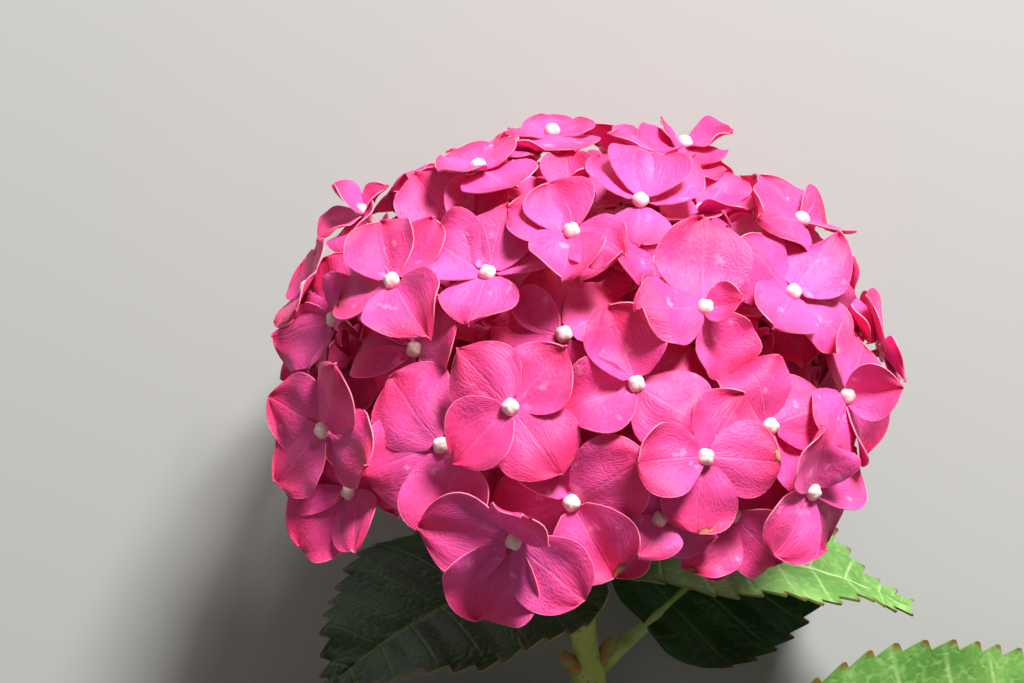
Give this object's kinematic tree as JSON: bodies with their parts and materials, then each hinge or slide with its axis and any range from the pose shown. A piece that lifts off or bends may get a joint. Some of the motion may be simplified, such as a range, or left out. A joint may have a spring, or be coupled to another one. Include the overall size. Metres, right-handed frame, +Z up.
{
  "type": "cut hydrangea shoot in flower",
  "caption": "Cut mophead hydrangea shoot: green stem with opposite toothed leaves and a domed head of four-sepalled pink florets, lying on its back.",
  "frame": {"origin": "on the surface that the shoot lies on, under the centre of its bounding box", "axes": "+Z up; +Y along the shoot, from the stem's cut end to the flower head; +X to the right of the head, seen from above"},
  "size_m": [0.2508, 0.274, 0.1512],
  "materials": {
    "stem": "satin",
    "leaf": "satin",
    "sepal": "matte"
  },
  "bodies": {
    "root": {"stem": "stem", "leaf_upper_left": "leaf", "leaf_upper_right": "leaf", "leaf_middle_right": "leaf", "leaf_middle_left": "leaf", "leaf_lower_right": "leaf", "leaf_lower_left": "leaf", "flower_head": "sepal"}
  },
  "joints": []
}
